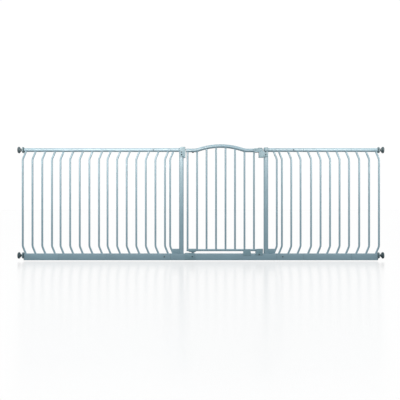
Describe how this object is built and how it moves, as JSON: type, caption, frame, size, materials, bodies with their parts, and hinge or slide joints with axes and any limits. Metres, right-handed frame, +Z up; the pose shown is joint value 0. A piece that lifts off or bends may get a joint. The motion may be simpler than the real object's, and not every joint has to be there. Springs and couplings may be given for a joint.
{
  "type": "safety baby gate",
  "caption": "Wide pressure-fit safety gate with an arched walk-through door, bowed-bar extension panels and four screw spindles that press on the walls.",
  "frame": {"origin": "on the floor, under the middle of the gate, in the plane of the rails", "axes": "+X along the gate towards the latch side, +Z up, -Y the front, from which the door opens away"},
  "size_m": [2.515, 0.045, 0.7977],
  "materials": {
    "painted_steel": "satin blue-grey powder coat",
    "grey_plastic": "moulded blue-grey plastic, fine texture",
    "slate_plastic": "dark slate moulded plastic",
    "zinc_steel": "zinc-plated steel"
  },
  "bodies": {
    "frame": {"bottom_cradle": "grey_plastic", "catch_screw_1": "zinc_steel", "catch_screw_2": "zinc_steel", "cradle_screw": "zinc_steel", "latch_catch": "grey_plastic", "left_bottom_rail_plug": "slate_plastic", "left_inner_bottom_joiner": "grey_plastic", "left_inner_bottom_joiner_screw": "zinc_steel", "left_inner_panel": "painted_steel", "left_inner_top_joiner": "grey_plastic", "left_inner_top_joiner_screw": "zinc_steel", "left_middle_bottom_joiner": "grey_plastic", "left_middle_panel": "painted_steel", "left_middle_top_joiner": "grey_plastic", "left_outer_bottom_joiner": "grey_plastic", "left_outer_panel": "painted_steel", "left_outer_top_joiner": "grey_plastic", "left_post_frame": "painted_steel", "left_top_rail_plug": "slate_plastic", "lower_hinge_base": "grey_plastic", "lower_hinge_screw": "zinc_steel", "one_way_stop": "grey_plastic", "right_bottom_rail_plug": "slate_plastic", "right_inner_bottom_joiner": "grey_plastic", "right_inner_bottom_joiner_screw": "zinc_steel", "right_inner_panel": "painted_steel", "right_inner_top_joiner": "grey_plastic", "right_inner_top_joiner_screw": "zinc_steel", "right_middle_bottom_joiner": "grey_plastic", "right_middle_panel": "painted_steel", "right_middle_top_joiner": "grey_plastic", "right_outer_bottom_joiner": "grey_plastic", "right_outer_panel": "painted_steel", "right_outer_top_joiner": "grey_plastic", "right_post_frame": "painted_steel", "right_top_rail_plug": "slate_plastic", "threshold_rail": "painted_steel", "upper_hinge_bracket": "grey_plastic", "upper_hinge_screw_1": "zinc_steel", "upper_hinge_screw_2": "zinc_steel"},
    "left_top_nut": {"left_top_wheel_nut": "slate_plastic"},
    "left_top_spindle": {"left_top_spindle_screw": "zinc_steel", "left_top_wall_cup": "slate_plastic"},
    "left_bottom_nut": {"left_bottom_wheel_nut": "slate_plastic"},
    "left_bottom_spindle": {"left_bottom_spindle_screw": "zinc_steel", "left_bottom_wall_cup": "slate_plastic"},
    "right_top_nut": {"right_top_wheel_nut": "slate_plastic"},
    "right_top_spindle": {"right_top_spindle_screw": "zinc_steel", "right_top_wall_cup": "slate_plastic"},
    "right_bottom_nut": {"right_bottom_wheel_nut": "slate_plastic"},
    "right_bottom_spindle": {"right_bottom_spindle_screw": "zinc_steel", "right_bottom_wall_cup": "slate_plastic"},
    "hinge_pins": {"upper_pivot_bolt": "zinc_steel", "lower_pivot_cone": "grey_plastic"},
    "door": {"door_frame": "painted_steel", "lower_hinge_sleeve": "grey_plastic", "handle_shell": "grey_plastic", "latch_spring": "zinc_steel"},
    "latch": {"latch_bolt": "zinc_steel", "latch_button": "slate_plastic"}
  },
  "joints": [
    {"name": "door_swing", "type": "hinge", "parent": "frame", "child": "hinge_pins", "pos_m": [-0.055, 0, 0.4], "axis": [0, 0, 1], "range_deg": [0, 90]},
    {"name": "door_lift", "type": "slide", "parent": "hinge_pins", "child": "door", "axis": [0, 0, 1], "range_m": [0, 0.008]},
    {"name": "latch_slide", "type": "slide", "parent": "door", "child": "latch", "axis": [-1, 0, 0], "range_m": [0, 0.008], "stiffness_N_per_m": 400, "springref_m": -0.006, "deforming": ["latch_spring"]},
    {"name": "left_top_nut_turn", "type": "hinge", "parent": "frame", "child": "left_top_nut", "pos_m": [-1.227, 0, 0.758], "axis": [1, 0, 0], "range_deg": [-1800, 5400]},
    {"name": "left_top_spindle_slide", "type": "slide", "parent": "frame", "child": "left_top_spindle", "axis": [-1, 0, 0], "range_m": [-0.0075, 0.0225]},
    {"name": "left_bottom_nut_turn", "type": "hinge", "parent": "frame", "child": "left_bottom_nut", "pos_m": [-1.227, 0, 0.0325], "axis": [1, 0, 0], "range_deg": [-1800, 5400]},
    {"name": "left_bottom_spindle_slide", "type": "slide", "parent": "frame", "child": "left_bottom_spindle", "axis": [-1, 0, 0], "range_m": [-0.0075, 0.0225]},
    {"name": "right_top_nut_turn", "type": "hinge", "parent": "frame", "child": "right_top_nut", "pos_m": [1.227, 0, 0.758], "axis": [-1, 0, 0], "range_deg": [-1800, 5400]},
    {"name": "right_top_spindle_slide", "type": "slide", "parent": "frame", "child": "right_top_spindle", "axis": [1, 0, 0], "range_m": [-0.0075, 0.0225]},
    {"name": "right_bottom_nut_turn", "type": "hinge", "parent": "frame", "child": "right_bottom_nut", "pos_m": [1.227, 0, 0.0325], "axis": [-1, 0, 0], "range_deg": [-1800, 5400]},
    {"name": "right_bottom_spindle_slide", "type": "slide", "parent": "frame", "child": "right_bottom_spindle", "axis": [1, 0, 0], "range_m": [-0.0075, 0.0225]}
  ],
  "couplings": [
    {"joint": "left_top_nut_turn", "follows": "left_top_spindle_slide", "rad_per_m": 4188.8},
    {"joint": "left_bottom_nut_turn", "follows": "left_bottom_spindle_slide", "rad_per_m": 4188.8},
    {"joint": "right_top_nut_turn", "follows": "right_top_spindle_slide", "rad_per_m": 4188.8},
    {"joint": "right_bottom_nut_turn", "follows": "right_bottom_spindle_slide", "rad_per_m": 4188.8}
  ]
}
